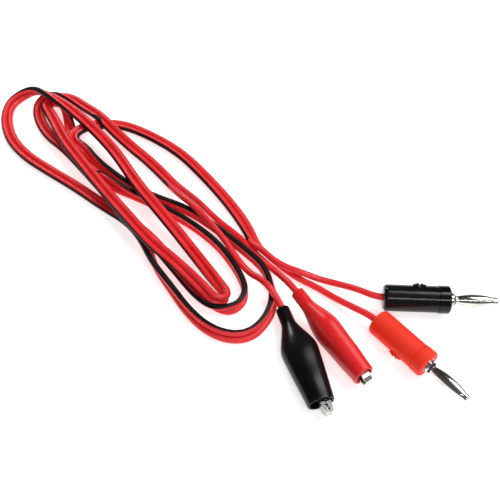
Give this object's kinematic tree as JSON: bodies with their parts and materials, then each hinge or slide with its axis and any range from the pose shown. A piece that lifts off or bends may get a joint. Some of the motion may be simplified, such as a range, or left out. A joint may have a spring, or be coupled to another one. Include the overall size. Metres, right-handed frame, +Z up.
{
  "type": "test lead pair",
  "caption": "Two-core flat test cord loosely coiled, with a banana plug on each core at one end and a booted alligator clip on each core at the other.",
  "frame": {"origin": "on the table, at the bottom centre of the box round the two plugs and the two clips", "axes": "+Z up from the table; +X the way the black plug points, within 2.4 degrees"},
  "size_m": [0.2241, 0.1806, 0.015],
  "materials": {
    "black_plastic": "moulded, satin",
    "red_plastic": "moulded, matt",
    "black_vinyl": "soft vinyl, semi-gloss",
    "red_vinyl": "soft vinyl, semi-gloss",
    "nickel": "bright nickel plate",
    "plated_steel": "stamped and plated",
    "spring_steel": "drawn wire",
    "black_fibre": "pressed ring",
    "copper": "twisted bare strands",
    "striped_cord": "red PVC with a black stripe",
    "red_cord": "red PVC"
  },
  "bodies": {
    "root": {"black_plug_sleeve": "black_plastic", "black_plug_core": "nickel", "black_plug_lantern": "nickel", "black_plug_washer": "black_fibre", "black_plug_strands": "copper", "black_clip_boot": "black_vinyl", "black_clip_fixed_jaw": "plated_steel", "black_clip_rivet": "plated_steel", "black_clip_spring": "spring_steel", "black_clip_strands": "copper", "red_plug_sleeve": "red_plastic", "red_plug_core": "nickel", "red_plug_lantern": "nickel", "red_plug_washer": "black_fibre", "red_plug_strands": "copper", "red_clip_boot": "red_vinyl", "red_clip_fixed_jaw": "plated_steel", "red_clip_rivet": "plated_steel", "red_clip_spring": "spring_steel", "red_clip_strands": "copper", "striped_wire": "striped_cord", "plain_wire": "red_cord"},
    "black_screw": {"black_plug_screw": "nickel"},
    "red_screw": {"red_plug_screw": "nickel"},
    "black_jaw": {"black_clip_moving_jaw": "plated_steel"},
    "red_jaw": {"red_clip_moving_jaw": "plated_steel"}
  },
  "joints": [
    {"name": "black_jaw_hinge", "type": "hinge", "parent": "root", "child": "black_jaw", "pos_m": [-0.03349, -0.00779, 0.0051], "axis": [0, 0, 1], "range_deg": [0, 22], "stiffness_Nm_per_rad": 0.1, "springref_deg": -45.84, "deforming": ["black_clip_spring", "black_clip_boot"]},
    {"name": "red_jaw_hinge", "type": "hinge", "parent": "root", "child": "red_jaw", "pos_m": [-0.02262, 0.0026, 0.00727], "axis": [-0.8348, -0.5505, 0], "range_deg": [0, 22], "stiffness_Nm_per_rad": 0.1, "springref_deg": -45.84, "deforming": ["red_clip_spring", "red_clip_boot"]},
    {"name": "black_screw_turn", "type": "hinge", "parent": "root", "child": "black_screw", "pos_m": [0.01338, 0.02732, 0.00986], "axis": [0.0321, 0.7654, 0.6428], "range_deg": [0, 720]},
    {"name": "red_screw_turn", "type": "hinge", "parent": "root", "child": "red_screw", "pos_m": [0.00071, -0.00243, 0.00208], "axis": [-0.6182, -0.5374, -0.5736], "range_deg": [0, 720]}
  ]
}
